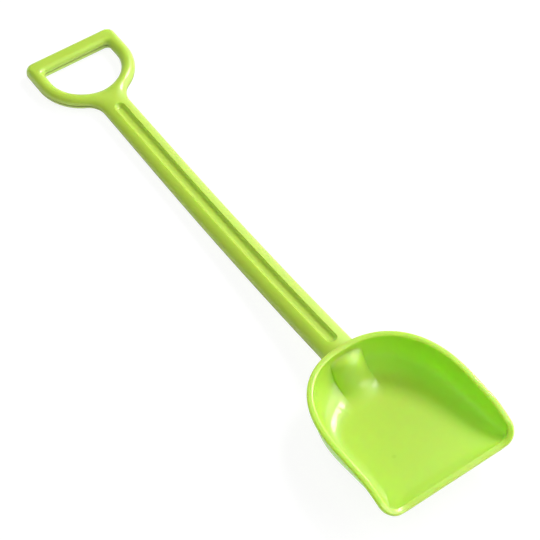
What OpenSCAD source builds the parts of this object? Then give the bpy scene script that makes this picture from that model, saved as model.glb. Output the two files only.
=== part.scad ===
// Toy sand shovel: a scoop blade, and a hollow handle of two welded half shells.
// The shovel lies on its heel and its grip. X runs across it, +Y towards the grip, Z up from the ground.
// All sizes are in millimetres.

/* [Blade] */
// Width of the blade over its rim
blade_w = 93; // [80:0.5:110]
// Length of the blade from its front lip to the back of its rim
blade_l = 104; // [92:1:125]
// Length of the rounded back of the blade's outline
back_l = 58; // [48:1:66]
// Squareness of the rounded back, where 2 gives an ellipse
back_power = 2.3; // [2:0.1:3]
// Amount by which each side draws in towards the front
side_taper = 0.7; // [0:0.1:4]
// Radius of the two front corners, seen from above
corner_r = 9; // [6:0.5:14]
// Thickness of the blade's wall and floor
wall_t = 2.4; // [1.8:0.1:2.8]
// Width of the rounded bead that runs round the rim
rim_w = 3.9; // [3.4:0.1:4.6]
// Thickness of the bead
rim_t = 3; // [2.6:0.1:3.6]
// Depth of the floor at the heel, below the bead at the back
heel_depth = 19; // [16:0.5:24]
// Distance of the heel from the back of the rim
heel_run = 24; // [20:0.5:30]
// Rise of the bead from the back of the blade to the front of its sides
rim_rise = 7.6; // [2:0.2:12]
// Upward bow of the bead along the sides
rim_bow = 1.3; // [0:0.1:3]
// Drop of the front lip's bead below the bead at the back
lip_drop = 2.2; // [0:0.2:6]
// Height of the front lip's bead over the floor
lip_step = 0.4; // [0.3:0.1:1.5]
// Slope of the ramp inside the front lip from upright, in degrees
lip_lean = 50; // [30:1:60]
// Distance from the front at which the rim starts to fall to the lip
lip_start = 25; // [18:1:34]
// Length of rim, round each front corner, over which it falls
lip_run = 36; // [28:1:44]
// Reach of the round between the back wall and the floor
back_round = 22; // [14:0.5:24]
// Reach of the round between the side walls and the floor
side_round = 11; // [6:0.5:16]
// Lean of the back wall from upright, in degrees
back_lean = 14; // [6:0.5:18]
// Lean of the side walls from upright, in degrees
side_lean = 5; // [2:0.5:10]

/* [Boss] */
// Depth of the boss's top below the bead, where it leaves the back wall
boss_drop = 2.7; // [2:0.1:4]
// Length of the boss from the back wall to its nose on the floor
boss_l = 29; // [26:0.5:34]
// Length of the boss's flat top
boss_top = 4; // [3:0.5:6]
// Length of the boss's steep face
boss_face = 14; // [11:0.5:15]
// Height of the boss over the floor's plane at the foot of its face
boss_toe = 3; // [2.6:0.1:4.5]

/* [Shaft] */
// Length of the shaft from the blade's rim to the branching of the grip
shaft_l = 242; // [160:1:420]
// Width of the shaft, and of the boss, at the blade
shaft_w_blade = 22; // [19:0.5:26]
// Width of the shaft at the grip
shaft_w_grip = 19.6; // [16:0.2:22]
// Thickness of the shaft at the blade
shaft_t_blade = 12.2; // [10:0.2:14]
// Thickness of the shaft at the grip
shaft_t_grip = 8.6; // [7.6:0.2:11]
// Length of the bend by which the shaft climbs to the blade
bend_l = 181; // [120:1:220]
// Width of the groove along the top of the shaft
groove_w = 7.2; // [5:0.2:9]
// Depth of the groove
groove_depth = 2.6; // [1:0.1:2.8]
// Distance from the blade's rim to the groove
groove_start = 5; // [4:0.5:12]
// Distance from the end of the groove to the branching of the grip
groove_stop = 0.6; // [0.5:0.1:20]

/* [Grip] */
// Width of the grip over its arms
grip_w = 68; // [60:1:84]
// Thickness and width of the grip's arms
arm_d = 9.1; // [8:0.1:12]
// Width of the grip's bar
bar_w = 10.8; // [8.4:0.1:13]
// Straight length of the opening's sides below the bar
bar_gap = 10.5; // [4:0.1:16]
// Radius of the opening's corners at the bar
bar_in_r = 3; // [1.5:0.1:3]
// Radius of the bar's outer corners
bar_out_r = 6; // [4:0.1:8]
// Radius where the arms branch from the shaft
branch_r = 15; // [10:0.5:20]

/* [Fits] */
// Wall of the handle's half shells
shell_t = 2; // [1.6:0.1:2.4]
// Gap at the welded seam between the half shells
seam_gap = 0.1; // [0.06:0.02:0.3]
// Gap between the end of the shaft and the back of the blade
seat_gap = 0.16; // [0.1:0.02:0.4]
// Width of the tongue that plugs the handle into the blade
tongue_w = 9; // [6:0.5:10]
// Thickness of the tongue
tongue_t = 3.6; // [2.8:0.1:4]
// Length of the tongue inside the blade
tongue_l = 7; // [5:0.5:8]
// Slope of the tongue, in degrees
tongue_fall = 16; // [12:1:20]
// Clearance round the tongue in its socket
tongue_gap = 0.2; // [0.1:0.05:0.4]

/* [Hidden] */

// Plan of the blade: its outline in one half, from the middle of the lip to the middle of the back
half_w = blade_w / 2;
front_x = half_w - side_taper;
side_y = blade_l - back_l;
rim_power = 2.6;
boss_half = shaft_w_blade / 2;
boss_shares = [1, 0.97, 0.9, 0.8, 0.65, 0.45, 0.23, 0];
back_steps = 13;
back_turn = acos(pow((boss_half + 1.5) / half_w, back_power / 2));

function clamp01(t) = max(0, min(1, t));
function ease(t) = let (c = clamp01(t)) c * c * (3 - 2 * c);
function mix(a, b, t) = a + (b - a) * t;
function back_y(x) = side_y + back_l * pow(1 - pow(abs(x) / half_w, back_power), 1 / back_power);

// Inward direction of the wall at a point of the rounded back; it turns to -Y beside the boss
function back_way(x) =
    let (gx = pow(x / half_w, back_power - 1) / half_w,
         gy = pow((back_y(x) - side_y) / back_l, back_power - 1) / back_l,
         turn = atan2(gx, gy) * ease((x - boss_half) / (1.4 * boss_half)))
    [-sin(turn), -cos(turn)];

// Each entry: x, y, inward direction x and y, length along the outline from the middle of the lip
front_half = concat(
    [for (i = [0:5]) let (x = (front_x - corner_r) * i / 6) [x, 0, 0, 1, x]],
    [for (i = [0:9])
        let (a = -90 + 10 * i)
        [front_x - corner_r + corner_r * cos(a), corner_r + corner_r * sin(a), -cos(a), -sin(a),
         front_x - corner_r + corner_r * (a + 90) * PI / 180]],
    [for (i = [1:8])
        let (t = i / 9, y = mix(corner_r, side_y, t))
        [mix(front_x, half_w, t), y, -1, 0, front_x - corner_r + corner_r * (PI / 2 - 1) + y]]);
back_half = [for (x = concat(
        [for (i = [0:back_steps]) half_w * pow(cos(back_turn * i / back_steps), 2 / back_power)],
        [for (s = boss_shares) boss_half * s]))
    let (way = back_way(x))
    [x, back_y(x), way[0], way[1], blade_w + blade_l]];
outline_half = concat(front_half, back_half);
half_count = len(outline_half);
outline = concat(outline_half,
    [for (i = [half_count - 2:-1:1]) let (p = outline_half[i]) [-p[0], p[1], -p[2], p[3], p[4]]]);
station_count = len(outline);

// Heights of the bead's middle and of the floor, from the bead's middle at the back
fall_end = front_x - corner_r + corner_r * (PI / 2 - 1) + lip_start;
function side_rise(y) =
    let (q = clamp01((blade_l - y) / (blade_l - lip_start)))
    rim_rise * q + rim_bow * 4 * q * (1 - q);
function bead_z(p) = mix(side_rise(p[1]), -lip_drop, ease((fall_end - p[4]) / lip_run));
floor_grade = (heel_depth - lip_drop - lip_step) / (blade_l - heel_run - rim_w);
floor_drop = wall_t / cos(atan(floor_grade));
function floor_z(y) = -heel_depth + floor_grade * (blade_l - heel_run - y);

// The bead's section, a superellipse round its middle, as inset from the outline and height.
// It is turned from the wall's outside over its top to the wall's inside, and ends higher along the lip.
function backness(p) = ease(-p[3]);
function frontness(p) = ease(p[3]);
function lean(p) = mix(side_lean, back_lean, backness(p));
function swell(t) = sign(t) * pow(abs(t), 2 / rim_power);
function bead_at(p, a) = [rim_w / 2 * (1 + swell(cos(a))), bead_z(p) + rim_t / 2 * swell(sin(a))];
function bead_from(p) = 180 + acos(pow(clamp01(2 * wall_t / cos(lean(p)) / rim_w - 1), rim_power / 2));
function bead_to(p) = 40 * frontness(p);

// Section of the wall on the inside (side 0) or the outside (side 1).
// The wall runs down from the bead, and a parabola joins it to the floor.
curve_steps = 8;
function round_l(p) = mix(side_round, back_round, backness(p));
function section_corner(p, from, tilt, drop) =
    let (grade = -floor_grade * p[3],
         level = floor_z(p[1]) - drop,
         e = (from[0] + (from[1] - level) * tan(tilt)) / (1 + grade * tan(tilt)))
    [e, level + grade * e];
function section_curve(p, side) =
    let (grade = -floor_grade * p[3],
         incline = atan(grade),
         tilt = side == 1 ? lean(p) : mix(lean(p), lip_lean, frontness(p)),
         from = bead_at(p, side == 1 ? 0 : bead_to(p)),
         inner = section_corner(p, from, tilt, 0),
         up = min(round_l(p), 0.9 * (from[1] - inner[1]) / cos(tilt)),
         along = min(round_l(p), 1.5 * up),
         wall_top = inner + up * [-sin(tilt), cos(tilt)] - side * wall_t * [cos(tilt), sin(tilt)],
         corner = section_corner(p, from - [side * wall_t / cos(tilt), 0], tilt, side * floor_drop),
         end_e = inner[0] + along * cos(incline) + side * wall_t * sin(incline),
         floor_end = [end_e, floor_z(p[1]) - side * floor_drop + grade * end_e])
    [for (i = [0:curve_steps])
        let (t = i / curve_steps)
        (1 - t) * (1 - t) * wall_top + 2 * t * (1 - t) * corner + t * t * floor_end];

// A section's point in space. From the foot of the wall the sections turn little by little
// to the middle of the floor, which is a line as long as the boss is wide.
foot = rim_w;
function middle_x(x) = max(-boss_half, min(boss_half, x));
function turned(e) = let (d = max(0, e - foot)) d * d / (d + foot / 2);
function place(p, e, z) =
    let (way = [middle_x(p[0]) - p[0], side_y - p[1]],
         q = [p[0], p[1]] + [p[2], p[3]] * (e - turned(e)) + way / norm(way) * turned(e))
    [q[0], q[1], z - floor_z(p[1] + p[3] * e) + floor_z(q[1])];

bead_steps = 10;
function bead_points(p) = [for (i = [0:bead_steps])
    let (b = bead_at(p, mix(bead_from(p), bead_to(p), i / bead_steps)))
    place(p, b[0], b[1])];

// Boss, a round ridge: a nearly level top at the back wall, a steep face, and a toe that fades into the floor.
// Its flanks are round at the back and flatten towards the nose.
boss_y = blade_l - rim_w;
face_y = boss_y - boss_top;
foot_y = face_y - boss_face;
nose_y = boss_y - boss_l;
top_fall = 0.12;
function top_z(y) = -boss_drop - top_fall * (boss_y - y);
function toe_z(y) = floor_z(y) + boss_toe * pow(max(0, y - nose_y) / (foot_y - nose_y), 2);
function ridge_z(y) = mix(toe_z(y), top_z(y), ease((y - foot_y) / boss_face));
function lift(q) =
    let (flank = mix(1.5, 0.5, ease(((q[1] - nose_y) / (face_y - nose_y) - 0.2) / 0.6)),
         share = pow(max(0, 1 - pow(q[0] / boss_half, 2)), flank))
    [q[0], q[1], q[2] + max(0, ridge_z(q[1]) - q[2]) * share];

// The floor's rings draw in from the end of the round towards the middle of the floor
ring_shares = [0.1, 0.2, 0.32];
function floor_point(q, share) =
    let (y = mix(q[1], side_y, share))
    [mix(q[0], middle_x(q[0]), share), y, floor_z(y)];

function inner_points(p) =
    let (curve = [for (s = section_curve(p, 0)) place(p, s[0], s[1])],
         last = curve[curve_steps])
    [for (q = concat(curve, [for (s = ring_shares) floor_point(last, s)])) lift(q)];
function outer_points(p) = [for (s = section_curve(p, 1)) place(p, s[0], s[1])];

// Height of the bead at the back over the ground, from the lowest point of the blade's outside
rim_h = -min([for (p = outline) for (q = outer_points(p)) q[2]]);
blade_rows = [for (p = outline) [for (q = concat(
        [for (i = [curve_steps:-1:0]) outer_points(p)[i]], bead_points(p), inner_points(p)))
    q + [0, 0, rim_h]]];
row_len = len(blade_rows[0]);

// Plan of the handle, in one half: stations with an inner end, an outer end and the kind of stretch
half_grip = grip_w / 2;
hole_r = half_grip - arm_d;
grip_neck = shaft_w_grip / 2;
branch_y = blade_l + shaft_l;
ring_y = branch_y + sqrt(pow(half_grip + branch_r, 2) - pow(grip_neck + branch_r, 2));
branch_turn = atan2(ring_y - branch_y, grip_neck + branch_r);
bar_in_y = ring_y + bar_gap;
bar_out_y = bar_in_y + bar_w;
total_l = bar_out_y;
groove_r = groove_w / 2;
groove_y0 = blade_l + groove_start;
groove_y1 = branch_y - groove_stop;

function neck_half(y) = mix(boss_half, grip_neck, clamp01((y - blade_l) / shaft_l));
cap_shares = [0, 0.3, 0.6, 0.85, 1];
shaft_ys = concat(
    [blade_l + 0.5 * groove_start],
    [for (s = cap_shares) groove_y0 + groove_r * s],
    [for (i = [1:14]) mix(groove_y0 + groove_r, groove_y1 - groove_r, i / 15)],
    [for (i = [4:-1:0]) groove_y1 - groove_r * cap_shares[i]]);
shaft_stations = [for (y = concat([blade_l], shaft_ys, [branch_y])) [[0, y], [neck_half(y), y]]];
// Where the arms branch, the inner ends climb the axis to the opening and then follow its arc
hole_low = ring_y - hole_r;
fork_count = 9;
fork_axis = 5;
fork_stations = [for (i = [1:fork_count])
    let (a = branch_turn * i / fork_count,
         b = -90 + (90 - branch_turn) * (i - fork_axis) / (fork_count - fork_axis),
         climb = sin(90 * i / fork_axis))
    [i <= fork_axis ? [0, mix(branch_y, hole_low, climb)] : [hole_r * cos(b), ring_y + hole_r * sin(b)],
     [grip_neck + branch_r - branch_r * cos(a), branch_y + branch_r * sin(a)]]];
arc_count = 9;
arc_stations = [for (i = [1:arc_count])
    let (a = -branch_turn * (1 - i / arc_count))
    [[hole_r * cos(a), ring_y + hole_r * sin(a)], [half_grip * cos(a), ring_y + half_grip * sin(a)]]];
in_corner = [hole_r - bar_in_r, bar_in_y - bar_in_r];
out_corner = [half_grip - bar_out_r, bar_out_y - bar_out_r];
corner_stations = [for (i = [0:6])
    let (a = 15 * i)
    [in_corner + bar_in_r * [cos(a), sin(a)], out_corner + bar_out_r * [cos(a), sin(a)]]];
bar_stations = [for (i = [1:4])
    let (t = 1 - i / 4)
    [[in_corner[0] * t, bar_in_y], [out_corner[0] * t, bar_out_y]]];
stations = concat(shaft_stations, fork_stations, arc_stations, corner_stations, bar_stations);
axis_count = len(shaft_stations) + fork_axis;
fork_first = len(shaft_stations);
arc_first = fork_first + fork_count;
bar_first = arc_first + arc_count;
long_count = len(stations);

// Places across a station: the shaft's stretch resolves the groove, the arms' stretch both edges
across = 11;
neck_places = [0, 0.35 * groove_r, 0.6 * groove_r, 0.82 * groove_r, groove_r];
function neck_place(half, k) = k <= 4 ? neck_places[k] / half
    : mix(groove_r / half, 1, sin(90 * (k - 4) / (across - 4)));
function arm_place(k) = (1 - cos(180 * k / across)) / 2;
function fork_share(j) = clamp01((j - fork_first + 1) / fork_count);
function plan_point(j, k) =
    let (s = stations[j], half = norm(s[1] - s[0]),
         t = mix(neck_place(max(half, groove_r * 1.5), k), arm_place(k), fork_share(j)))
    mix(s[0], s[1], k == across ? 1 : t);

// Distance of a plan point from the handle's edge, and the rounded half section over it
function corner_gap(d, r) = norm([max(d[0], 0), max(d[1], 0)]) + min(max(d[0], d[1]), 0) - r;
function edge_gap(j, p) =
    let (from_ring = norm(p - [0, ring_y]),
         hole = p[1] < ring_y ? from_ring - hole_r : corner_gap(p - in_corner, bar_in_r),
         rim = j < fork_first ? neck_half(p[1]) - p[0]
             : j < arc_first ? norm(p - [grip_neck + branch_r, branch_y]) - branch_r
             : j < bar_first ? half_grip - from_ring
             : -corner_gap(p - out_corner, bar_out_r))
    max(0, min(hole, rim));
function shaft_t(y) = mix(shaft_t_blade, shaft_t_grip, clamp01((y - blade_l) / shaft_l));
function half_t(j, y) = (j < fork_first ? shaft_t(y) : mix(shaft_t_grip, arm_d, fork_share(j))) / 2;
function round_w(j, y) = mix(neck_half(y), arm_d / 2, fork_share(j));
function round_power(j) = mix(2, 3, clamp01((j - bar_first + 1) / 5));
function dome(gap, reach, height, power) =
    height * pow(max(0, 1 - pow(1 - clamp01(gap / reach), power)), 1 / power);

// Height of the handle's middle: level from the grip, then climbing to the blade, and never under the ground
shaft_end_z = rim_h - shaft_t_blade / 2 - seat_gap;
function climb(y) = pow(clamp01((blade_l + bend_l - y) / bend_l), 2);
grip_z = max(concat([arm_d / 2], [for (y = shaft_ys)
    (half_t(0, y) - shaft_end_z * climb(y)) / (1 - climb(y))])) + seam_gap / 2;
function middle_z(y) = mix(grip_z, shaft_end_z, climb(y));

function groove_cut(p) =
    let (beyond = max(0, groove_y0 + groove_r - p[1], p[1] - groove_y1 + groove_r))
    groove_depth * max(0, 1 - pow(norm([p[0], beyond]) / groove_r, 3));
edge_t = 0.3;
// The shells are closed towards the blade and hollow beyond it
function hollow_share(y) = ease((y - groove_y0) / (4 * groove_r));
function skin(j, p, cut) =
    max(edge_t, dome(edge_gap(j, p), round_w(j, p[1]), half_t(j, p[1]), round_power(j)) - cut);
function hollow(j, p, cut) =
    max(0, dome(max(0, edge_gap(j, p) - shell_t), round_w(j, p[1]) - shell_t,
        half_t(j, p[1]) - shell_t, round_power(j)) - cut) * hollow_share(p[1]);

// Back of the blade, as y at a given x and height over the ground, for the shaft's end to follow
function back_inset(x, z) =
    let (p = [x, back_y(x), 0, -1, blade_w + blade_l], h = z - rim_h,
         curve = section_curve(p, 1),
         under = rim_t / 2 * swell(sin(bead_from(p))),
         hit = [for (i = [1:curve_steps])
             if (curve[i][1] <= h && h < curve[i - 1][1])
                 mix(curve[i][0], curve[i - 1][0], (h - curve[i][1]) / (curve[i - 1][1] - curve[i][1]))])
    h > under ? rim_w / 2 * (1 - pow(max(0, 1 - pow(abs(2 * h / rim_t), rim_power)), 1 / rim_power))
    : len(hit) > 0 ? hit[0]
    : curve[0][0] * (under - h) / (under - curve[0][1]);
function seat_y(x, z) = back_y(x) - back_inset(x, z) + seat_gap;

// A half shell: up is 1 for the front one and -1 for the back one
function shell_top(up, j, k) =
    let (p = plan_point(j, k))
    middle_z(p[1]) + up * (seam_gap / 2 + skin(j, p, up > 0 ? groove_cut(p) : 0));
function shell_seam(up, j, k) =
    let (p = plan_point(j, k))
    middle_z(p[1]) + up * (seam_gap / 2 + (k == across ? 0 : hollow(j, p, up > 0 ? groove_cut(p) : 0)));
function shell_point(p, z, j) = [p[0], j == 0 ? seat_y(p[0], z) : p[1], z];
cap_rows = 10;
function cap_z(up, k, r) = mix(shell_top(up, 0, k), shell_seam(up, 0, k), pow(r / cap_rows, 1.5));

side_size = long_count * (across + 1);
function shell_points(up) = concat(
    [for (side = [1, -1]) for (j = [0:long_count - 1]) for (k = [0:across])
        let (q = shell_point(plan_point(j, k), shell_top(up, j, k), j)) [side * q[0], q[1], q[2]]],
    [for (side = [1, -1]) for (j = [0:long_count - 1]) for (k = [0:across])
        let (q = shell_point(plan_point(j, k), shell_seam(up, j, k), j)) [side * q[0], q[1], q[2]]],
    [for (side = [1, -1]) for (r = [1:cap_rows - 1]) for (k = [0:across])
        let (q = shell_point(plan_point(0, k), cap_z(up, k, r), 0)) [side * q[0], q[1], q[2]]]);
// Points on the axis, and across the middle of the bar, serve both halves
function shared(j, k) = (k == 0 && j < axis_count) || j == long_count - 1;
function at(level, side, j, k) =
    2 * side_size * level + (side < 0 && !shared(j, k) ? side_size : 0) + j * (across + 1) + k;
function cap_at(side, r, k) =
    r == cap_rows ? at(1, side, 0, k) : r == 0 || k == across ? at(0, side, 0, k)
    : 4 * side_size + ((side < 0 && k > 0 ? cap_rows - 1 : 0) + r - 1) * (across + 1) + k;
// Triangles of a four-cornered patch, turned the other way where flip is true; one where two corners meet
function patch(a, b, c, d, flip) = [for (t = flip ? [[a, c, b], [a, d, c]] : [[a, b, c], [a, c, d]])
    if (t[0] != t[1] && t[1] != t[2] && t[2] != t[0]) t];
function shell_faces(up) = [for (side = [1, -1]) let (turn = side * up < 0) for (f = concat(
    [for (j = [0:long_count - 2]) for (k = [0:across - 1])
        for (t = patch(at(0, side, j, k), at(0, side, j + 1, k), at(0, side, j + 1, k + 1),
            at(0, side, j, k + 1), turn)) t],
    [for (j = [0:long_count - 2]) for (k = [0:across - 1])
        for (t = patch(at(1, side, j, k), at(1, side, j + 1, k), at(1, side, j + 1, k + 1),
            at(1, side, j, k + 1), !turn)) t],
    [for (j = [0:long_count - 2])
        for (t = patch(at(0, side, j, across), at(0, side, j + 1, across), at(1, side, j + 1, across),
            at(1, side, j, across), turn)) t],
    [for (j = [axis_count - 1:long_count - 2])
        for (t = patch(at(0, side, j, 0), at(0, side, j + 1, 0), at(1, side, j + 1, 0),
            at(1, side, j, 0), !turn)) t],
    [for (r = [0:cap_rows - 1]) for (k = [0:across - 1])
        for (t = patch(cap_at(side, r, k), cap_at(side, r, k + 1), cap_at(side, r + 1, k + 1),
            cap_at(side, r + 1, k), turn)) t])) f];

// The tongue leaves the back shell's end under the middle of the shaft and slopes into the boss
tongue_z = shaft_end_z - shaft_t_blade / 4;
tongue_root = groove_start;
module tongue(gap) {
    translate([0, seat_y(0, tongue_z), tongue_z])
        rotate([tongue_fall, 0, 0])
            translate([-tongue_w / 2 - gap, -tongue_l - gap, -tongue_t / 2 - gap])
                cube([tongue_w + 2 * gap, tongue_l + tongue_root + gap, tongue_t + 2 * gap]);
}

module blade_shell() {
    ends = station_count * row_len;
    lower = [0, side_y, floor_z(side_y) - floor_drop + rim_h];
    upper = [0, side_y, floor_z(side_y) + rim_h];
    points = concat([for (row = blade_rows) for (q = row) q], [lower, upper]);
    faces = [for (i = [0:station_count - 1])
        let (a = i * row_len, b = ((i + 1) % station_count) * row_len)
        for (f = concat(
            [for (m = [0:row_len - 2]) for (t = patch(a + m, a + m + 1, b + m + 1, b + m, false)) t],
            [[a, b, ends], [a + row_len - 1, ends + 1, b + row_len - 1]])) f];
    polyhedron(points, faces, convexity = 6);
}

// One scoop with a beaded rim, a boss inside its back and a socket in the boss for the handle
module scoop_blade() {
    color("yellowgreen")
        translate([0, -total_l / 2, 0])
            difference() {
                blade_shell();
                tongue(tongue_gap);
            }
}

// Upper half of the grip and shaft, with the groove along its top
module handle_front_shell() {
    color("greenyellow")
        translate([0, -total_l / 2, 0])
            polyhedron(shell_points(1), shell_faces(1), convexity = 6);
}

// Lower half of the grip and shaft, with the tongue that enters the blade
module handle_back_shell() {
    color("olivedrab")
        translate([0, -total_l / 2, 0])
            union() {
                polyhedron(shell_points(-1), shell_faces(-1), convexity = 6);
                tongue(0);
            }
}

scoop_blade();
handle_front_shell();
handle_back_shell();
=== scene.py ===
import bpy
import bmesh
import numpy as np
from mathutils import Matrix


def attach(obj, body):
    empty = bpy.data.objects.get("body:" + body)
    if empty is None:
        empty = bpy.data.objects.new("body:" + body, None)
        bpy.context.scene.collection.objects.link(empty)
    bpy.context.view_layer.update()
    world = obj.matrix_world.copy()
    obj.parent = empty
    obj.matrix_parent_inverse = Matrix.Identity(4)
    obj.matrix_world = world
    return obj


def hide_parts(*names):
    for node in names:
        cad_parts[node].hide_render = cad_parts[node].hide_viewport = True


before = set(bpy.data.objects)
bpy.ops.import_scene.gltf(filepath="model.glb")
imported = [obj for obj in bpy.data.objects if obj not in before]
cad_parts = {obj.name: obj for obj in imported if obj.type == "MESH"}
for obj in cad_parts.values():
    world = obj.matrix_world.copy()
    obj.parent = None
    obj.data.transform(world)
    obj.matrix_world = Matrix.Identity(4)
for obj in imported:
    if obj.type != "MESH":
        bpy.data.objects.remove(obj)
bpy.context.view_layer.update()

# Scoop blade
# The real piece is one injection moulding of lime polypropylene: a flat floor, walls that round into it,
# a bead round the whole rim, and a hump inside the back. The handle's end plugs into the back of the hump.
MM = 0.001
blade_w, blade_l, back_l, back_power = 93.0, 104.0, 58.0, 2.3
side_taper, corner_r, wall_t = 0.7, 9.0, 2.4
rim_w, rim_t, rim_power = 3.9, 2.72, 3.4
heel_depth, heel_run = 19.0, 24.0
rim_rise, rim_bow = 7.6, 1.3
lip_drop, lip_step, lip_start, lip_run = 2.2, 0.4, 25.0, 36.0
lip_lean, ramp_l, ramp_fade, ramp_turn = np.radians(50.0), 7.0, 16.0, np.radians(40)
back_round, side_round, back_lean, side_lean = 22.0, 11.0, np.radians(14.0), np.radians(5.0)
round_up, round_out = 0.9, 1.5
boss_half, boss_drop, boss_l, boss_top = 11.0, 2.7, 29.0, 4.0
boss_face, boss_toe, top_fall, step_power = 14.0, 3.0, 0.12, 1.25
nose_flank, top_flank, flank_start = 1.5, 0.42, 0.25
rim_inset = 0.02
total_l = 409.56
gate_x, gate_y, blade_glow = -15.5, 33.0, 0.85
lip_n, bend_n, side_n, sweep_n, hump_n = 30, 28, 40, 90, 40
outer_n, bead_n, inner_n, floor_n = 26, 40, 46, 14

half_w = blade_w / 2
front_x, side_y, boss_y = half_w - side_taper, blade_l - back_l, blade_l - rim_w
corner_run = front_x - corner_r + corner_r * (np.pi / 2 - 1)
floor_grade = (heel_depth - lip_drop - lip_step) / (blade_l - heel_run - rim_w)
floor_drop = wall_t * np.hypot(1, floor_grade)


def ease(t):
    """Smooth step: three times the square less twice the cube, held between 0 and 1."""
    c = np.clip(t, 0, 1)
    return c * c * (3 - 2 * c)


def mix(a, b, t):
    """Straight-line blend from a to b."""
    return a + (b - a) * t


def floor_z(y):
    """Height of the floor's plane over the bead's middle at the back: a straight climb from heel to lip."""
    return -heel_depth + floor_grade * (blade_l - heel_run - y)


def side_rise(y):
    """Height of the bead along the sides: a straight climb towards the front plus a shallow parabola."""
    q = np.clip((blade_l - y) / (blade_l - lip_start), 0, 1)
    return rim_rise * q + rim_bow * 4 * q * (1 - q)


def back_y(x):
    """Outline of the rounded back, a quarter of a superellipse on each side."""
    return side_y + back_l * (1 - (np.abs(x) / half_w) ** back_power) ** (1 / back_power)


def back_turn(x):
    """Angle of the back's inward normal from -Y, from the superellipse's gradient. It is eased to nothing
    beside the hump, so that the walls there run straight."""
    gx = (x / half_w) ** (back_power - 1) / half_w
    gy = ((back_y(x) - side_y) / back_l) ** (back_power - 1) / back_l
    return np.arctan2(gx, gy) * ease((x - boss_half) / (1.4 * boss_half))


def blade_outline():
    """Stations round the rim from the middle of the lip: x, y, inward x and y, and length from the lip's
    middle. The right half is a straight lip, a quarter circle, a straight side and the superellipse, and
    the left half mirrors it."""
    lip_x = np.linspace(0, front_x - corner_r, lip_n, endpoint=False)
    lip = np.stack([lip_x, 0 * lip_x, 0 * lip_x, 0 * lip_x + 1, lip_x], 1)
    a = np.linspace(-np.pi / 2, 0, bend_n)
    bend = np.stack([front_x - corner_r + corner_r * np.cos(a), corner_r + corner_r * np.sin(a),
                     -np.cos(a), -np.sin(a), front_x - corner_r + corner_r * (a + np.pi / 2)], 1)
    t = np.linspace(0, 1, side_n)[1:-1]
    y = mix(corner_r, side_y, t)
    side = np.stack([mix(front_x, half_w, t), y, 0 * t - 1, 0 * t, corner_run + y], 1)
    reach = np.arccos(((boss_half + 1.2) / half_w) ** (back_power / 2))
    sweep = half_w * np.cos(np.linspace(0, reach, sweep_n)) ** (2 / back_power)
    hump = boss_half * np.cos(np.linspace(0, np.pi / 2, hump_n))
    x = np.concatenate([sweep, np.linspace(boss_half + 1, boss_half + 0.1, 8), hump])
    x[-1] = 0
    turn = back_turn(x)
    back = np.stack([x, back_y(x), -np.sin(turn), -np.cos(turn), 0 * x + blade_w + blade_l], 1)
    right = np.concatenate([lip, bend, side, back])
    return np.concatenate([right, right[-2:0:-1] * [-1, 1, -1, 1, 1]])


def bead_z(p):
    """Height of the bead's middle: the side's rise, eased down to the lip round each front corner."""
    return mix(side_rise(p[1]), -lip_drop, ease((corner_run + lip_start - p[4]) / lip_run))


def wall_shape(p):
    """Lean and round of the wall at each station, blended from the sides' values to the back's by the
    inward normal."""
    back = ease(-p[3])
    return mix(side_lean, back_lean, back), mix(side_round, back_round, back)


def swell(t):
    """Sine or cosine of a superellipse: the same sign, to the power two over the bead's squareness."""
    return np.sign(t) * np.abs(t) ** (2 / rim_power)


def bead_at(p, a):
    """The bead's section as inset from the outline and height at an angle: a superellipse round its middle."""
    inset = rim_inset + rim_w / 2 * (1 + swell(np.cos(a)))
    return np.stack([inset, bead_z(p) + rim_t / 2 * swell(np.sin(a))])


def bead_start(lean):
    """Angle round the bead's section at which it leaves the wall's outside."""
    return np.pi + np.arccos(np.clip(2 * wall_t / np.cos(lean) / rim_w - 1, 0, 1) ** (rim_power / 2))


def lipness(p):
    """Share of the lip's ramp at a station: all of it at the middle of the lip, eased to nothing before
    each corner."""
    return ease((front_x - corner_r - p[4]) / ramp_fade)


def bead_end(p):
    """Angle at which the bead's section meets the wall's inside, higher along the lip."""
    return ramp_turn * lipness(p)


def wall_corner(p, start, tilt, drop):
    """Where the wall's straight line meets the floor's, as inset from the outline and height."""
    grade, level = -floor_grade * p[3], floor_z(p[1]) - drop
    e = (start[0] + (start[1] - level) * np.tan(tilt)) / (1 + grade * np.tan(tilt))
    return np.stack([e, level + grade * e])


def wall_handles(p, side):
    """Three control points of the parabola that joins wall to floor, on the inside (0) or the outside (1).
    Its upper arm is a share of the wall's height, and its lower arm a multiple of the upper one."""
    lean, reach = wall_shape(p)
    grade = -floor_grade * p[3]
    incline = np.arctan(grade)
    tilt = lean if side else mix(lean, lip_lean, lipness(p))
    start = bead_at(p, 0 * p[0] if side else bead_end(p))
    inner = wall_corner(p, start, tilt, 0)
    up = np.minimum(reach, round_up * (start[1] - inner[1]) / np.cos(tilt))
    along = np.maximum(np.minimum(reach, round_out * up), (1 - side) * ramp_l * ease(p[3]))
    climb, across = np.stack([-np.sin(tilt), np.cos(tilt)]), np.stack([np.cos(tilt), np.sin(tilt)])
    top = inner + up * climb - side * wall_t * across
    outset = np.stack([side * wall_t / np.cos(tilt), 0 * tilt])
    corner = wall_corner(p, start - outset, tilt, side * floor_drop)
    end_e = inner[0] + along * np.cos(incline) + side * wall_t * np.sin(incline)
    return top, corner, np.stack([end_e, floor_z(p[1]) - side * floor_drop + grade * end_e])


def parabola(handles, t):
    """Quadratic Bezier curve through its control points, one column per value of t."""
    a, b, c = (h[..., None] for h in handles)
    return (1 - t) ** 2 * a + 2 * t * (1 - t) * b + t * t * c


def middle_x(x):
    """The nearest x on the floor's middle line, which is as long as the hump is wide."""
    return np.clip(x, -boss_half, boss_half)


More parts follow.
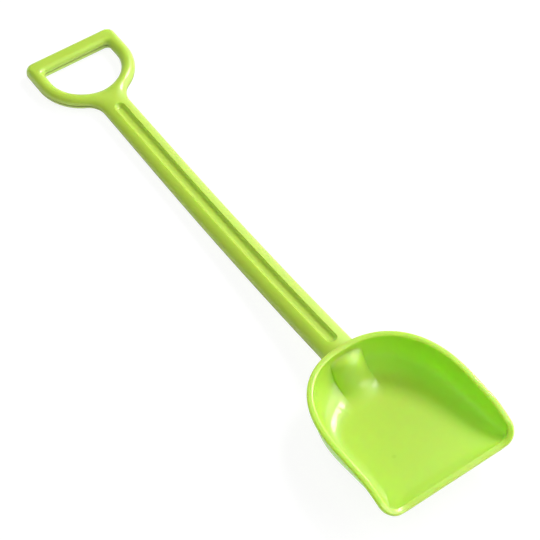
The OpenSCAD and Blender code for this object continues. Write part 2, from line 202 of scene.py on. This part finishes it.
def in_space(p, e, z):
    """Puts insets and heights at their stations. From the wall's foot the way in turns from the outline's
    normal to the floor's middle: the turned length is the square of the way past the foot over that way
    plus a constant."""
    x, y, nx, ny = (v[:, None] for v in p[:4])
    wx, wy = middle_x(x) - x, side_y - y
    past = np.maximum(e - rim_w, 0)
    turned = past * past / (past + rim_w / 2)
    qx = x + nx * (e - turned) + wx / np.hypot(wx, wy) * turned
    qy = y + ny * (e - turned) + wy / np.hypot(wx, wy) * turned
    return np.stack([qx, qy, z - floor_z(y + ny * e) + floor_z(qy)], -1)


def raise_hump(p, q):
    """Lifts the inside over the hump: its ridge is an eased step from a toe, a parabola over the floor, to a
    nearly level top. Across it the lift is a power of a parabola, close to a half ellipse at the back and
    flatter at the nose."""
    y = q[..., 1]
    face_y, nose_y = boss_y - boss_top, boss_y - boss_l
    foot_y = face_y - boss_face
    toe = floor_z(y) + boss_toe * (np.maximum(y - nose_y, 0) / (foot_y - nose_y)) ** 2
    ridge = mix(toe, -boss_drop - top_fall * (boss_y - y), ease((y - foot_y) / boss_face) ** step_power)
    way = (y - nose_y) / (face_y - nose_y)
    flank = mix(nose_flank, top_flank, ease((way - flank_start) / (1 - flank_start)))
    across = np.clip(1 - (p[0][:, None] / boss_half) ** 2, 0, 1) ** flank
    q[..., 2] += np.maximum(ridge - q[..., 2], 0) * across
    return q


def blade_surface():
    """The whole blade as rings of points: the outside from the floor up, the bead, the inside down and the
    floor in. Each ring is one section of the wall, and each of the two floors closes on a middle point."""
    p = blade_outline().T
    lean, _ = wall_shape(p)
    outer = in_space(p, *parabola(wall_handles(p, 1), np.linspace(1, 0, outer_n)))
    turn = mix(bead_start(lean), bead_end(p), np.linspace(0, 1, bead_n)[:, None])
    bead = in_space(p, *bead_at(p, turn).transpose(0, 2, 1))
    inner = in_space(p, *parabola(wall_handles(p, 0), np.linspace(0, 1, inner_n)))
    share = np.linspace(0.02, 0.34, floor_n)
    end = inner[:, -1:]
    ring_y = mix(end[..., 1], side_y, share)
    rings = np.stack([mix(end[..., 0], middle_x(end[..., 0]), share), ring_y, floor_z(ring_y)], -1)
    inside = raise_hump(p, np.concatenate([inner, rings], 1))
    grid = np.concatenate([outer, bead, inside], 1)
    rim_h = -outer[..., 2].min()
    middles = np.array([[0, side_y, floor_z(side_y) - floor_drop], [0, side_y, floor_z(side_y)]])
    points = np.concatenate([grid.reshape(-1, 3), middles])
    points += [0, -total_l / 2, rim_h]
    return points * MM, grid.shape[:2], rim_h


def ring_faces(rings, per_ring):
    """Quads between neighbouring rings, closed round, with the outside facing out, and fans to the last two
    points."""
    i = np.arange(rings)[:, None] * per_ring
    m = np.arange(per_ring - 1)
    j = np.roll(i, -1, 0)
    quads = np.stack([i + m, j + m, j + m + 1, i + m + 1], -1).reshape(-1, 4)
    last, middle = per_ring - 1, rings * per_ring
    under = np.stack([j[:, 0], i[:, 0], np.full(rings, middle)], -1)
    over = np.stack([j[:, 0] + last, np.full(rings, middle + 1), i[:, 0] + last], -1)
    return quads.tolist() + under.tolist() + over.tolist()


def piece(name, points, faces):
    """A smooth-shaded mesh object at the origin from arrays of points and faces."""
    mesh = bpy.data.meshes.new(name)
    mesh.from_pydata(points.tolist(), [], faces)
    mesh.polygons.foreach_set("use_smooth", np.ones(len(mesh.polygons), bool))
    obj = bpy.data.objects.new(name, mesh)
    bpy.context.scene.collection.objects.link(obj)
    return obj


class Socket:
    """A value in a node tree. Arithmetic on it adds Math nodes, and node() adds any other node."""

    def __init__(self, tree, socket=None):
        self.tree, self.socket = tree, socket

    def node(self, kind, settings=None, inputs=None, output=0):
        """Adds a node, sets its settings, fills its sockets with values or links, and returns one output."""
        made = self.tree.nodes.new(kind)
        for key, value in (settings or {}).items():
            setattr(made, key, value)
        for key, value in (inputs or {}).items():
            if isinstance(value, Socket):
                self.tree.links.new(value.socket, made.inputs[key])
            else:
                made.inputs[key].default_value = value
        return Socket(self.tree, made.outputs[output] if made.outputs else None)

    def maths(self, operation, a, b):
        """One Math node on two values."""
        return self.node("ShaderNodeMath", {"operation": operation}, {0: a, 1: b})

    def __add__(self, other):
        return self.maths("ADD", self, other)

    def __sub__(self, other):
        return self.maths("SUBTRACT", self, other)

    def __rsub__(self, other):
        return self.maths("SUBTRACT", other, self)

    def __mul__(self, other):
        return self.maths("MULTIPLY", self, other)

    def __truediv__(self, other):
        return self.maths("DIVIDE", self, other)

    __radd__, __rmul__ = __add__, __mul__


def lime_plastic(name, gate, glow):
    """Dyed polypropylene with a satin gloss, which light passes through where it is thin, by the share glow.
    The colour drifts a little with the flow of the melt, the gloss varies in soft patches, the skin has a
    faint orange peel, and a small dull spot is left where the melt came in at the gate. A colour Mix node has
    its colours at inputs 6 and 7 and its result at output 2."""
    lime, light_lime, gate_lime = (0.475, 0.735, 0.05, 1), (0.495, 0.75, 0.06, 1), (0.34, 0.59, 0.02, 1)
    spot_in, spot_out, plastic_ior = 0.0006, 0.0019, 1.49
    material = bpy.data.materials.new(name)
    material.use_nodes = True
    tree = material.node_tree
    tree.nodes.clear()
    make = Socket(tree)
    place = make.node("ShaderNodeTexCoord", output="Object")
    stretched = make.node("ShaderNodeMapping", {}, {"Vector": place, "Scale": (1.0, 0.25, 1.0)})
    flow = make.node("ShaderNodeTexNoise", {},
                     {"Vector": stretched, "Scale": 55.0, "Detail": 3.0, "Roughness": 0.5})
    patches = make.node("ShaderNodeTexNoise", {},
                        {"Vector": place, "Scale": 130.0, "Detail": 4.0, "Roughness": 0.6})
    peel = make.node("ShaderNodeTexNoise", {},
                     {"Vector": place, "Scale": 1100.0, "Detail": 2.0, "Roughness": 0.5})
    from_gate = make.node("ShaderNodeVectorMath", {"operation": "DISTANCE"}, {0: place, 1: gate}, "Value")
    spot = make.node("ShaderNodeMapRange", {"interpolation_type": "SMOOTHSTEP"},
                     {"Value": from_gate, "From Min": spot_in, "From Max": spot_out,
                      "To Min": 1.0, "To Max": 0.0})
    colour = make.node("ShaderNodeMix", {"data_type": "RGBA"},
                       {0: flow, 6: lime, 7: light_lime}, 2)
    colour = make.node("ShaderNodeMix", {"data_type": "RGBA"},
                       {0: spot * 0.4, 6: colour, 7: gate_lime}, 2)
    roughness = 0.45 + 0.08 * patches + 0.03 * flow + 0.1 * spot
    polish = 0.6 - 0.12 * patches - 0.3 * spot
    skin = make.node("ShaderNodeBump", {},
                     {"Strength": 0.025, "Distance": 0.0003, "Height": peel + 0.6 * patches - spot})
    surface = make.node("ShaderNodeBsdfPrincipled", {"subsurface_method": "RANDOM_WALK"}, {
        "Base Color": colour, "Roughness": roughness, "Normal": skin, "IOR": plastic_ior,
        "Specular IOR Level": 0.9,
        "Coat Weight": polish, "Coat Roughness": 0.13, "Coat IOR": plastic_ior,
        "Subsurface Weight": glow, "Subsurface Radius": (0.55, 1.0, 0.08), "Subsurface Scale": 0.008})
    make.node("ShaderNodeOutputMaterial", {}, {"Surface": surface})
    return material


blade_points, blade_grid, rim_h = blade_surface()
blade = piece("blade_moulding", blade_points, ring_faces(*blade_grid))
gate = (gate_x * MM, (gate_y - total_l / 2) * MM, (floor_z(gate_y) + rim_h) * MM)
blade.data.materials.append(lime_plastic("blade_lime", gate, blade_glow))
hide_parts("scoop_blade")
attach(blade, "root")

# Handle half shells
# The hollow shaft and its D-grip are two mouldings of the same plastic, split at mid-thickness and welded
# along the seam. The upper one has a long round-ended groove down the shaft. Both end against the outside of
# the blade, and a tongue that doesn't show plugs into its hump.
shaft_l, shaft_w_grip = 242.0, 19.6
shaft_t_blade, shaft_t_grip, bend_l = 12.2, 8.6, 181.0
groove_w, groove_depth, groove_start, groove_stop = 7.2, 2.6, 5.0, 0.6
grip_w, arm_d, bar_w, bar_gap = 68.0, 9.1, 10.8, 10.5
bar_in_r, bar_out_r, branch_r = 3.0, 6.0, 15.0
shell_t, seam_gap, seat_gap, seam_edge = 2.0, 0.1, 0.16, 0.3
groove_soft, groove_fade, weld_d, handle_glow = 0.004, 0.12, 2e-6, 0.4
neck_n, cap_n, shaft_n, cols_n, end_n = 12, 26, 90, 29, 16
fork_n, axis_n, arc_n, corner_n, bar_n = 45, 25, 50, 28, 24

half_grip, grip_neck, groove_r = grip_w / 2, shaft_w_grip / 2, groove_w / 2
hole_r, branch_y = half_grip - arm_d, blade_l + shaft_l
ring_y = branch_y + np.sqrt((half_grip + branch_r) ** 2 - (grip_neck + branch_r) ** 2)
branch_turn = np.arctan2(ring_y - branch_y, grip_neck + branch_r)
bar_in_y, hole_low = ring_y + bar_gap, ring_y - hole_r
bar_out_y = bar_in_y + bar_w
groove_y0, groove_y1 = blade_l + groove_start, branch_y - groove_stop
in_corner = np.array([hole_r - bar_in_r, bar_in_y - bar_in_r])
out_corner = np.array([half_grip - bar_out_r, bar_out_y - bar_out_r])
SHAFT, FORK, ARC, CORNER, BAR = range(5)


def neck_half(y):
    """Half width of the shaft, tapering evenly from the blade to the grip."""
    return mix(boss_half, grip_neck, np.clip((y - blade_l) / shaft_l, 0, 1))


def polar(centre, radius, a):
    """Points on a circle round a centre."""
    return np.stack([centre[0] + radius * np.cos(a), centre[1] + radius * np.sin(a)], -1)


def handle_stations():
    """Lines across the right half of the handle, each from an inner to an outer end: up the shaft, round the
    branch, round the D's arc, round its corner and along the bar. Also the stretch and the share of branching
    of each, and how many of them start on the middle line."""
    cap = groove_r * (1 - np.cos(np.linspace(0, np.pi / 2, cap_n)))
    y = np.concatenate([np.linspace(blade_l, groove_y0, neck_n)[:-1], groove_y0 + cap,
                        np.linspace(groove_y0 + groove_r, groove_y1 - groove_r, shaft_n)[1:-1],
                        (groove_y1 - cap)[::-1], [branch_y]])
    shaft = np.stack([np.stack([0 * y, y], -1), np.stack([neck_half(y), y], -1)], 1)
    i = np.arange(1, fork_n + 1) / fork_n
    on_axis = np.arange(1, fork_n + 1) <= axis_n
    rise = np.sin(np.pi / 2 * np.clip(i * fork_n / axis_n, 0, 1))
    climb = np.stack([0 * i, mix(branch_y, hole_low, rise)], -1)
    b = -np.pi / 2 + (np.pi / 2 - branch_turn) * (i * fork_n - axis_n) / (fork_n - axis_n)
    inner = np.where(on_axis[:, None], climb, polar((0, ring_y), hole_r, b))
    a = branch_turn * i
    outer = np.stack([grip_neck + branch_r - branch_r * np.cos(a), branch_y + branch_r * np.sin(a)], -1)
    fork = np.stack([inner, outer], 1)
    a = -branch_turn * (1 - np.arange(1, arc_n + 1) / arc_n)
    arc = np.stack([polar((0, ring_y), hole_r, a), polar((0, ring_y), half_grip, a)], 1)
    a = np.linspace(0, np.pi / 2, corner_n)
    corner = np.stack([polar(in_corner, bar_in_r, a), polar(out_corner, bar_out_r, a)], 1)
    t = 1 - np.arange(1, bar_n + 1)[:, None] / bar_n
    bar = np.stack([np.hstack([in_corner[0] * t, 0 * t + bar_in_y]),
                    np.hstack([out_corner[0] * t, 0 * t + bar_out_y])], 1)
    stretch = np.repeat([SHAFT, FORK, ARC, CORNER, BAR], [len(y), fork_n, arc_n, corner_n, bar_n])
    share = np.concatenate([0 * y, i, np.ones(arc_n + corner_n + bar_n)])
    return np.concatenate([shaft, fork, arc, corner, bar]), stretch, share, len(y) + axis_n


def plan_grid(stations, share):
    """Places across each station: on the shaft they crowd the groove's lip and the edge, on the arms both
    edges."""
    half = np.linalg.norm(stations[:, 1] - stations[:, 0], axis=1)[:, None]
    lip = groove_r * np.concatenate([np.linspace(0, 0.8, 16), np.linspace(0.84, 1.12, 12)])
    wide = np.maximum(half, groove_r * 1.5)
    rest = mix(lip[-1] / wide, 1, np.sin(np.linspace(0, np.pi / 2, cols_n)[1:]))
    neck = np.hstack([lip / wide, rest])
    count = neck.shape[1]
    arm = (1 - np.cos(np.pi * np.linspace(0, 1, count))) / 2
    t = mix(neck, arm, share[:, None])
    t[:, -1] = 1
    return mix(stations[:, :1], stations[:, 1:], t[..., None])


def corner_gap(d, r):
    """Signed distance from a rounded corner."""
    return np.hypot(np.maximum(d[..., 0], 0), np.maximum(d[..., 1], 0)) + np.minimum(d.max(-1), 0) - r


def edge_gap(q, stretch):
    """Distance of plan points from the nearest edge: the opening's, or the outer one of their stretch."""
    ring = np.hypot(q[..., 0], q[..., 1] - ring_y)
    hole = np.where(q[..., 1] < ring_y, ring - hole_r, corner_gap(q - in_corner, bar_in_r))
    s = stretch[:, None]
    rim = np.select([s == SHAFT, s == FORK, s == ARC],
                    [neck_half(q[..., 1]) - q[..., 0],
                     np.hypot(q[..., 0] - grip_neck - branch_r, q[..., 1] - branch_y) - branch_r,
                     half_grip - ring], -corner_gap(q - out_corner, bar_out_r))
    return np.maximum(np.minimum(hole, rim), 0)


def dome(gap, reach, height, power):
    """Rounded section: a superellipse that climbs from the edge to full height over its reach."""
    return height * np.maximum(1 - (1 - np.clip(gap / reach, 0, 1)) ** power, 0) ** (1 / power)


def groove_cut(q):
    """Depth of the groove: a cubic trough, carried round the ends in half circles, with its lip softened."""
    beyond = np.maximum(np.maximum(groove_y0 + groove_r - q[..., 1], q[..., 1] - groove_y1 + groove_r), 0)
    u = np.hypot(q[..., 0], beyond) / groove_r
    d = 1 - u ** 3
    return groove_depth * (d + np.sqrt(d * d + groove_soft)) / 2 * (1 - ease((u - 1) / groove_fade))


def half_thickness(q, stretch, share):
    """Half the handle's thickness: tapering along the shaft, then eased to the arms' thickness."""
    shaft = mix(shaft_t_blade, shaft_t_grip, np.clip((q[..., 1] - blade_l) / shaft_l, 0, 1)) / 2
    return np.where(stretch[:, None] == SHAFT, shaft, mix(shaft_t_grip, arm_d, share[:, None]) / 2)


def climb_share(y):
    """Parabola from the level half of the shaft up to the blade."""
    return np.clip((blade_l + bend_l - y) / bend_l, 0, 1) ** 2


def seat_y(x, h):
    """Outside of the blade's back at a given x and height, plus the seat's gap: the bead's superellipse, below
    it a short straight line, and below that the wall's parabola, solved for the height."""
    flat = x.ravel()
    p = np.stack([flat, back_y(flat), 0 * flat, 0 * flat - 1, 0 * flat + blade_w + blade_l])
    top, corner, end = (v.reshape(2, *x.shape) for v in wall_handles(p, 1))
    a, b, c = top[1] - 2 * corner[1] + end[1], 2 * (corner[1] - top[1]), top[1] - h
    t = np.clip((-b - np.sqrt(np.maximum(b * b - 4 * a * c, 0))) / (2 * a), 0, 1)
    below = (1 - t) ** 2 * top[0] + 2 * t * (1 - t) * corner[0] + t * t * end[0]
    under = rim_t / 2 * swell(np.sin(bead_start(back_lean)))
    between = top[0] * (under - h) / (under - top[1])
    bead = rim_w / 2 * (1 - np.maximum(1 - np.abs(2 * h / rim_t) ** rim_power, 0) ** (1 / rim_power))
    inset = np.where(h > under, bead, np.where(h > top[1], between, below))
    return back_y(x) - inset + seat_gap


def shell_piece(name, up):
    """A half shell, the upper (up 1) or the lower (up -1): the skin over the plan grid, the hollow under it,
    a small chamfer along the seam, the end against the blade, and the mirror image of it all."""
    stations, stretch, share, axis_count = handle_stations()
    q = plan_grid(stations, share)
    gap = edge_gap(q, stretch)
    thick = half_thickness(q, stretch, share)
    wide = mix(neck_half(q[..., 1]), arm_d / 2, share[:, None])
    bar_share = np.cumsum(stretch >= CORNER) / np.sum(stretch == CORNER)
    power = mix(2, 3, np.clip(bar_share, 0, 1))[:, None]
    cut = groove_cut(q) * (stretch == SHAFT)[:, None] if up > 0 else 0 * gap
    end_z = rim_h - shaft_t_blade / 2 - seat_gap
    shaft_q = q[stretch == SHAFT][1:-1, 0, 1]
    lift = climb_share(shaft_q)
    half = mix(shaft_t_blade, shaft_t_grip, (shaft_q - blade_l) / shaft_l) / 2
    level = max(arm_d / 2, np.max((half - end_z * lift) / (1 - lift))) + seam_gap / 2
    middle = mix(level, end_z, climb_share(q[..., 1]))
    skin = np.maximum(dome(gap, wide, thick, power) - cut, seam_edge)
    inside = dome(np.maximum(gap - shell_t, 0), wide - shell_t, thick - shell_t, power) - cut
    inside = np.maximum(inside, 0) * ease((q[..., 1] - groove_y0) / (4 * groove_r))
    top = middle + up * (seam_gap / 2 + skin)
    seam = middle + up * (seam_gap / 2 + inside)
    rows, cols = gap.shape
    edge = np.minimum(seam_edge / (np.linalg.norm(stations[:, 1] - stations[:, 0], axis=1)), 0.2)[:, None]
    seam_q = q.copy()
    seam_q[:, -1] = mix(stations[:, 1], stations[:, 0], edge)
    seam_q[axis_count - 1:, 0] = mix(stations[:, 0], stations[:, 1], edge)[axis_count - 1:]
    seam[:, -1] = middle[:, -1] + up * seam_gap / 2
    seam[axis_count - 1:, 0] = middle[axis_count - 1:, 0] + up * seam_gap / 2
    down = np.linspace(0, 1, end_n)[1:-1, None] ** 1.5
    cap_z = mix(top[0], seam[0], down)
    cap_x = mix(q[0, :, 0], seam_q[0, :, 0], down)
    levels = [np.dstack([q, top]), np.dstack([seam_q, seam]), np.stack([cap_x, 0 * cap_x, cap_z], -1)]
    levels[0][0, :, 1] = seat_y(q[0, :, 0], top[0] - rim_h)
    levels[1][0, :, 1] = seat_y(seam_q[0, :, 0], seam[0] - rim_h)
    levels[2][..., 1] = seat_y(cap_x, cap_z - rim_h)
    points = np.concatenate([v.reshape(-1, 3) for v in levels]) - [0, total_l / 2, 0]
    index = np.arange(rows * cols).reshape(rows, cols)
    below = index + rows * cols
    caps = 2 * rows * cols + np.arange(cap_z.size).reshape(cap_z.shape)
    end = np.concatenate([index[:1], caps, below[:1]])
    strips = [index, below, end, np.stack([index[:, -1], below[:, -1]]),
              np.stack([index[axis_count - 1:, 0], below[axis_count - 1:, 0]])]
    quads = np.concatenate([np.stack([s[:-1, :-1], s[1:, :-1], s[1:, 1:], s[:-1, 1:]], -1).reshape(-1, 4)
                            for s in strips])
    mirrored = points * [-1, 1, 1]
    obj = piece(name, np.concatenate([points, mirrored]) * MM,
                np.concatenate([quads, quads + len(points)]).tolist())
    shape = bmesh.new()
    shape.from_mesh(obj.data)
    bmesh.ops.remove_doubles(shape, verts=shape.verts, dist=weld_d)
    bmesh.ops.recalc_face_normals(shape, faces=shape.faces)
    shape.to_mesh(obj.data)
    shape.free()
    return obj


far_off = (0, 0.02, -1)
handle_lime = lime_plastic("handle_lime", far_off, handle_glow)
for name, up in (("handle_front_shell", 1), ("handle_back_shell", -1)):
    shell = shell_piece(name.replace("shell", "moulding"), up)
    shell.data.materials.append(handle_lime)
    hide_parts(name)
    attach(shell, "root")

# Studio
# White paper under the shovel, a small hard lamp from the right, a broad soft one from the front right, a weak
# one overhead that shows in no reflection, and a camera that looks down on the blade from the front left.
ambient, paper_glow, floor_half, paper_drop = 0.17, 0.88, 3.0, 0.0005
focal_px, picture_px, sensor_mm = 1580, 540, 36
eye_x, eye_y, eye_z = -321.43, -283.97, 766.91
world = bpy.data.worlds.new("studio")
bpy.context.scene.world = world
world.use_nodes = True
world.node_tree.nodes.clear()
air = Socket(world.node_tree)
seen = air.node("ShaderNodeLightPath", output="Is Camera Ray")
mirrored = air.node("ShaderNodeLightPath", output="Is Glossy Ray")
through = air.node("ShaderNodeLightPath", output="Is Transmission Ray")
way = air.node("ShaderNodeTexCoord", output="Generated")
height = air.node("ShaderNodeSeparateXYZ", {}, {"Vector": way}, "Z")
low = air.node("ShaderNodeMapRange", {"interpolation_type": "SMOOTHSTEP"},
               {"Value": height, "From Min": 0.12, "From Max": 0.4, "To Min": 1.0, "To Max": 0.06})
shown = air.maths("MAXIMUM", seen, air.maths("MAXIMUM", mirrored, through))
strength = ambient + shown * (low - ambient)
sky = air.node("ShaderNodeBackground", {}, {"Color": (1, 1, 1, 1), "Strength": strength})
air.node("ShaderNodeOutputWorld", {}, {"Surface": sky})

corners = np.array([[-1, -1, 0], [1, -1, 0], [1, 1, 0], [-1, 1, 0]]) * [floor_half, floor_half, 1]
ground = piece("ground", corners - [0, 0, paper_drop], [[0, 1, 2, 3]])
paper = bpy.data.materials.new("white_paper")
paper.use_nodes = True
paper.node_tree.nodes.clear()
sheet = Socket(paper.node_tree)
seen = sheet.node("ShaderNodeLightPath", output="Is Camera Ray")
mirrored = sheet.node("ShaderNodeLightPath", output="Is Glossy Ray")
matt = sheet.node("ShaderNodeBsdfDiffuse", {}, {"Color": (0.88, 0.88, 0.88, 1)})
pale = sheet.node("ShaderNodeBsdfDiffuse", {}, {"Color": (0.18, 0.18, 0.18, 1)})
glow = sheet.node("ShaderNodeEmission", {}, {"Color": (1, 1, 1, 1), "Strength": paper_glow})
white = sheet.node("ShaderNodeAddShader", {}, {0: pale, 1: glow})
face = sheet.node("ShaderNodeMixShader", {}, {0: sheet.maths("MAXIMUM", seen, mirrored), 1: matt, 2: white})
sheet.node("ShaderNodeOutputMaterial", {}, {"Surface": face})
ground.data.materials.append(paper)


def lamp(name, place, aim, size, power):
    """A square area lamp at a place, turned so that it shines at an aim."""
    data = bpy.data.lights.new(name, "AREA")
    data.size, data.energy = size, power
    obj = bpy.data.objects.new(name, data)
    back = np.subtract(place, aim) / np.linalg.norm(np.subtract(place, aim))
    right = np.cross((0, 1, 0.01), back)
    right /= np.linalg.norm(right)
    turn = np.eye(4)
    turn[:3, 0], turn[:3, 1], turn[:3, 2], turn[:3, 3] = right, np.cross(back, right), back, place
    obj.matrix_world = Matrix(turn.tolist())
    bpy.context.scene.collection.objects.link(obj)
    return obj


lamp("key_right", (1.1, 0.35, 1.05), (0, 0, 0), 0.45, 15)
lamp("key_front", (1.08, -0.75, 0.8), (0, 0, 0), 1.4, 18)
lamp("fill_top", (-0.5, 0.1, 1.4), (0, 0, 0), 1.2, 7).visible_glossy = False

eye = bpy.data.cameras.new("eye")
eye.lens = focal_px * sensor_mm / picture_px
eye.sensor_width = sensor_mm
eye.dof.use_dof = False
viewer = bpy.data.objects.new("eye", eye)
right, above, behind = (0.8180, -0.5752, 0), (0.4612, 0.6559, 0.5976), (-0.3437, -0.4888, 0.8018)
stance = np.eye(4)
stance[:3, 0], stance[:3, 1], stance[:3, 2] = right, above, behind
stance[:3, 3] = np.array([eye_x, eye_y - total_l / 2, eye_z]) * MM
viewer.matrix_world = Matrix(stance.tolist())
bpy.context.scene.collection.objects.link(viewer)
bpy.context.scene.camera = viewer
bpy.context.scene.view_settings.view_transform = "Standard"
